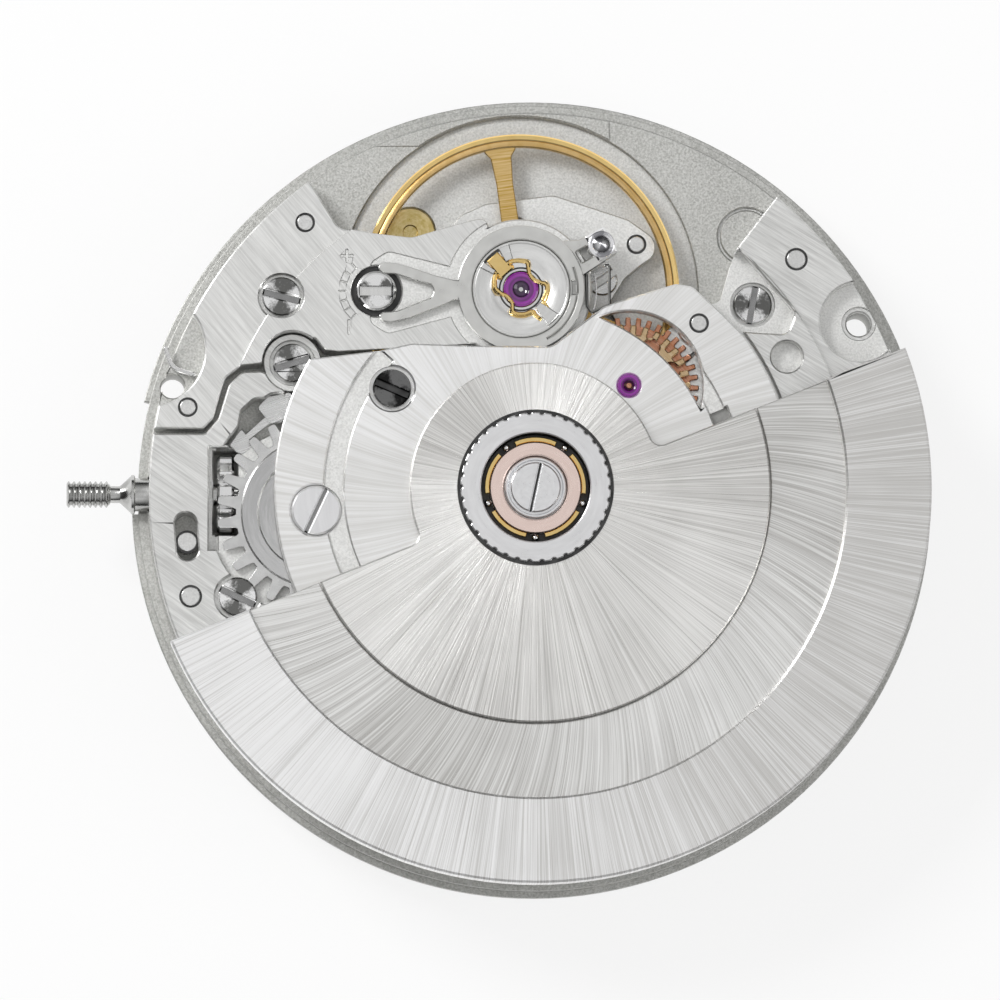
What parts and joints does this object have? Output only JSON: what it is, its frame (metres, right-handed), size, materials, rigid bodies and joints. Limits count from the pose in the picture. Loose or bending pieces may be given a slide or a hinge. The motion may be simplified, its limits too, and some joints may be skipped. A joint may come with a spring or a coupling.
{
  "type": "mechanical watch movement",
  "caption": "Round automatic watch movement with a half-disc oscillating weight, balance, going train, date ring and winding stem.",
  "frame": {"origin": "on the hand axis, in the plane of the dial seat", "axes": "+Z from the dial side to the rotor side, -X along the winding stem outwards"},
  "size_m": [0.0281, 0.026, 0.0065],
  "materials": {
    "plate": "bead-blasted rhodium",
    "bridge": "satin rhodium",
    "steel": "polished steel",
    "dark_steel": "polished dark steel",
    "brass": "plain brass",
    "gold": "polished gold colour",
    "copper": "copper-coloured",
    "ruby": "synthetic ruby",
    "rotor": "sunray brushed",
    "heavy": "radially brushed",
    "date": "matt white print ground"
  },
  "bodies": {
    "plate": {"main_plate": "plate", "brass_bushes": "brass", "barrel_bridge": "bridge", "train_bridge": "bridge", "pallet_bridge": "plate", "balance_cock": "bridge", "lower_auto_bridge": "bridge", "auto_bridge": "bridge", "guard_plate": "plate", "bridge_screws": "steel", "dark_screw": "dark_steel", "locating_pins": "steel", "bearing_jewels": "ruby", "shock_setting": "steel", "shock_spring": "gold", "casing_strip": "steel", "inner_race": "copper", "rotor_screw": "steel"},
    "stud": {"stud_holder": "steel", "hairspring": "steel"},
    "index": {"index_lever": "steel"},
    "eccentric": {"eccentric_screw": "steel"},
    "winder": {"winding_pinion": "steel"},
    "stem": {"winding_stem": "steel"},
    "clutch": {"sliding_pinion": "steel"},
    "crown_wheel": {"crown_wheel": "steel"},
    "ratchet": {"ratchet_wheel": "steel", "barrel_arbor": "steel"},
    "drum": {"barrel_drum": "brass", "mainspring": "steel"},
    "intermediate": {"intermediate_wheel": "brass"},
    "third": {"third_wheel": "brass"},
    "seconds": {"seconds_wheel": "brass"},
    "escape": {"escape_wheel": "steel"},
    "fork": {"pallet_fork": "steel"},
    "balance": {"balance_wheel": "gold", "balance_staff": "steel"},
    "cannon": {"cannon_pinion": "steel"},
    "minute": {"minute_wheel": "steel"},
    "hour": {"hour_wheel": "brass"},
    "date_wheel": {"date_wheel": "brass"},
    "date_ring": {"date_ring": "date"},
    "date_jumper": {"date_jumper": "steel"},
    "setting": {"setting_wheel": "steel"},
    "transfer": {"transfer_wheel": "steel"},
    "setting_lever": {"setting_lever": "steel"},
    "yoke": {"yoke": "steel"},
    "stop_lever": {"stop_lever": "steel"},
    "click": {"click": "steel"},
    "reverser_a_upper": {"reverser_a_upper": "gold"},
    "reverser_a_lower": {"reverser_a_lower": "copper"},
    "reverser_b_upper": {"reverser_b_upper": "gold"},
    "reverser_b_lower": {"reverser_b_lower": "copper"},
    "reduction": {"reduction_wheel": "copper"},
    "driving": {"driving_wheel": "copper"},
    "rotor": {"rotor_web": "rotor", "rotor_weight": "heavy", "outer_race": "steel"},
    "bearing": {"ball_cage": "gold", "bearing_balls": "steel"}
  },
  "joints": [
    {"name": "crown_turn", "type": "hinge", "parent": "plate", "child": "winder", "pos_m": [-0.01, 0, 0.0015], "axis": [1, 0, 0], "continuous": true},
    {"name": "stem_pull", "type": "slide", "parent": "winder", "child": "stem", "axis": [-1, 0, 0], "range_m": [0, 0.0009]},
    {"name": "clutch_shift", "type": "slide", "parent": "winder", "child": "clutch", "axis": [1, 0, 0], "range_m": [0, 0.0006]},
    {"name": "crown_wheel_turn", "type": "hinge", "parent": "plate", "child": "crown_wheel", "pos_m": [-0.00705, -0.0007, 0.0027], "axis": [0, 0, 1], "continuous": true},
    {"name": "ratchet_turn", "type": "hinge", "parent": "plate", "child": "ratchet", "pos_m": [-0.00519, -0.00596, 0.0027], "axis": [0, 0, 1], "continuous": true},
    {"name": "driving_turn", "type": "hinge", "parent": "plate", "child": "driving", "pos_m": [-0.00177, -0.00696, 0.003], "axis": [0, 0, 1], "continuous": true},
    {"name": "reduction_turn", "type": "hinge", "parent": "plate", "child": "reduction", "pos_m": [0.00195, -0.00377, 0.0027], "axis": [0, 0, 1], "continuous": true},
    {"name": "reverser_b_lower_turn", "type": "hinge", "parent": "plate", "child": "reverser_b_lower", "pos_m": [0.00447, -0.00077, 0.003], "axis": [0, 0, 1], "continuous": true},
    {"name": "reverser_a_lower_turn", "type": "hinge", "parent": "plate", "child": "reverser_a_lower", "pos_m": [0.00304, 0.00337, 0.003], "axis": [0, 0, 1], "continuous": true},
    {"name": "setting_lever_turn", "type": "hinge", "parent": "plate", "child": "setting_lever", "pos_m": [-0.01045, 0.003, 0.00054], "axis": [0, 0, 1], "range_deg": [-19, 0.5]},
    {"name": "yoke_turn", "type": "hinge", "parent": "plate", "child": "yoke", "pos_m": [-0.00855, 0.0032, 0.00074], "axis": [0, 0, 1], "range_deg": [-0.5, 12]},
    {"name": "stop_lever_turn", "type": "hinge", "parent": "plate", "child": "stop_lever", "pos_m": [-0.0083, 0.0026, 0.00235], "axis": [0, 0, 1], "range_deg": [-0.5, 3]},
    {"name": "rotor_spin", "type": "hinge", "parent": "plate", "child": "rotor", "pos_m": [0, 0, 0.0041], "axis": [0, 0, 1], "continuous": true},
    {"name": "reverser_a_upper_turn", "type": "hinge", "parent": "plate", "child": "reverser_a_upper", "pos_m": [0.00304, 0.00337, 0.0034], "axis": [0, 0, 1], "continuous": true},
    {"name": "reverser_b_upper_turn", "type": "hinge", "parent": "plate", "child": "reverser_b_upper", "pos_m": [0.00447, -0.00077, 0.0034], "axis": [0, 0, 1], "continuous": true},
    {"name": "bearing_turn", "type": "hinge", "parent": "plate", "child": "bearing", "pos_m": [0, 0, 0.0041], "axis": [0, 0, 1], "continuous": true},
    {"name": "seconds_turn", "type": "hinge", "parent": "plate", "child": "seconds", "pos_m": [0, 0, 0.0013], "axis": [0, 0, 1], "continuous": true},
    {"name": "third_turn", "type": "hinge", "parent": "plate", "child": "third", "pos_m": [0.00316, -0.002, 0.001], "axis": [0, 0, 1], "continuous": true},
    {"name": "intermediate_turn", "type": "hinge", "parent": "plate", "child": "intermediate", "pos_m": [-0.00053, -0.00457, 0.001], "axis": [0, 0, 1], "continuous": true},
    {"name": "drum_turn", "type": "hinge", "parent": "plate", "child": "drum", "pos_m": [-0.00519, -0.00596, 0.001], "axis": [0, 0, 1], "continuous": true},
    {"name": "escape_turn", "type": "hinge", "parent": "plate", "child": "escape", "pos_m": [0.0019, 0.003, 0.001], "axis": [0, 0, 1], "continuous": true},
    {"name": "minute_wheel_turn", "type": "hinge", "parent": "plate", "child": "minute", "pos_m": [0.00041, -0.00236, 0.001], "axis": [0, 0, 1], "continuous": true},
    {"name": "cannon_turn", "type": "hinge", "parent": "plate", "child": "cannon", "pos_m": [0, 0, 0.001], "axis": [0, 0, 1], "continuous": true},
    {"name": "hour_turn", "type": "hinge", "parent": "plate", "child": "hour", "pos_m": [0, 0, 0.001], "axis": [0, 0, 1], "continuous": true},
    {"name": "date_wheel_turn", "type": "hinge", "parent": "plate", "child": "date_wheel", "pos_m": [0.00436, 0.00252, 0.001], "axis": [0, 0, 1], "continuous": true},
    {"name": "date_ring_turn", "type": "hinge", "parent": "plate", "child": "date_ring", "pos_m": [0, 0, 0.001], "axis": [0, 0, 1], "continuous": true},
    {"name": "transfer_turn", "type": "hinge", "parent": "plate", "child": "transfer", "pos_m": [-0.00301, -0.00071, 0.001], "axis": [0, 0, 1], "continuous": true},
    {"name": "setting_wheel_turn", "type": "hinge", "parent": "plate", "child": "setting", "pos_m": [-0.0063, -0.0005, 0.001], "axis": [0, 0, 1], "continuous": true},
    {"name": "balance_swing", "type": "hinge", "parent": "plate", "child": "balance", "pos_m": [-0.00044, 0.00652, 0.0024], "axis": [0, 0, 1], "range_deg": [-300, 300], "stiffness_Nm_per_rad": 0.00000063},
    {"name": "fork_rock", "type": "hinge", "parent": "plate", "child": "fork", "pos_m": [0.00138, 0.00495, 0.0017], "axis": [0, 0, 1], "range_deg": [-5, 5]},
    {"name": "index_turn", "type": "hinge", "parent": "plate", "child": "index", "pos_m": [-0.00044, 0.00652, 0.0035], "axis": [0, 0, 1], "range_deg": [-4, 4]},
    {"name": "beat_turn", "type": "hinge", "parent": "plate", "child": "stud", "pos_m": [-0.00044, 0.00652, 0.0033], "axis": [0, 0, 1], "range_deg": [-5, 5]},
    {"name": "eccentric_turn", "type": "hinge", "parent": "plate", "child": "eccentric", "pos_m": [-0.00511, 0.00646, 0.0032], "axis": [0, 0, 1], "continuous": true},
    {"name": "click_turn", "type": "hinge", "parent": "plate", "child": "click", "pos_m": [-0.0071, -0.009, 0.0027], "axis": [0, 0, 1], "range_deg": [-8, 0], "stiffness_Nm_per_rad": 0.000001},
    {"name": "date_jumper_turn", "type": "hinge", "parent": "plate", "child": "date_jumper", "pos_m": [-0.00509, 0.00509, 0.0002], "axis": [0, 0, 1], "range_deg": [-7, 0], "stiffness_Nm_per_rad": 0.000001}
  ],
  "couplings": [
    {"joint": "crown_wheel_turn", "follows": "crown_turn", "ratio": 0.38462},
    {"joint": "ratchet_turn", "follows": "crown_turn", "ratio": -0.41667},
    {"joint": "driving_turn", "follows": "crown_turn", "ratio": 1.25},
    {"joint": "reduction_turn", "follows": "crown_turn", "ratio": -7.5},
    {"joint": "reverser_b_lower_turn", "follows": "crown_turn", "ratio": 45},
    {"joint": "reverser_a_lower_turn", "follows": "crown_turn", "ratio": -45},
    {"joint": "clutch_shift", "follows": "stem_pull", "ratio": 0.66667},
    {"joint": "setting_lever_turn", "follows": "stem_pull", "rad_per_m": -351},
    {"joint": "yoke_turn", "follows": "stem_pull", "rad_per_m": 209},
    {"joint": "stop_lever_turn", "follows": "stem_pull", "rad_per_m": 44.5},
    {"joint": "reverser_a_upper_turn", "follows": "rotor_spin", "ratio": -1.4},
    {"joint": "reverser_b_upper_turn", "follows": "rotor_spin", "ratio": -1.4},
    {"joint": "bearing_turn", "follows": "rotor_spin", "ratio": 0.54},
    {"joint": "third_turn", "follows": "seconds_turn", "ratio": -0.13333},
    {"joint": "intermediate_turn", "follows": "seconds_turn", "ratio": 0.016667},
    {"joint": "drum_turn", "follows": "seconds_turn", "ratio": -0.0020833},
    {"joint": "escape_turn", "follows": "seconds_turn", "ratio": -12},
    {"joint": "minute_wheel_turn", "follows": "seconds_turn", "ratio": -0.0055556},
    {"joint": "cannon_turn", "follows": "seconds_turn", "ratio": 0.016667},
    {"joint": "hour_turn", "follows": "seconds_turn", "ratio": 0.0013889},
    {"joint": "date_wheel_turn", "follows": "seconds_turn", "ratio": -0.00069444},
    {"joint": "date_ring_turn", "follows": "seconds_turn", "ratio": -0.000022401},
    {"joint": "transfer_turn", "follows": "seconds_turn", "ratio": 0.005},
    {"joint": "setting_wheel_turn", "follows": "seconds_turn", "ratio": -0.0076923}
  ]
}
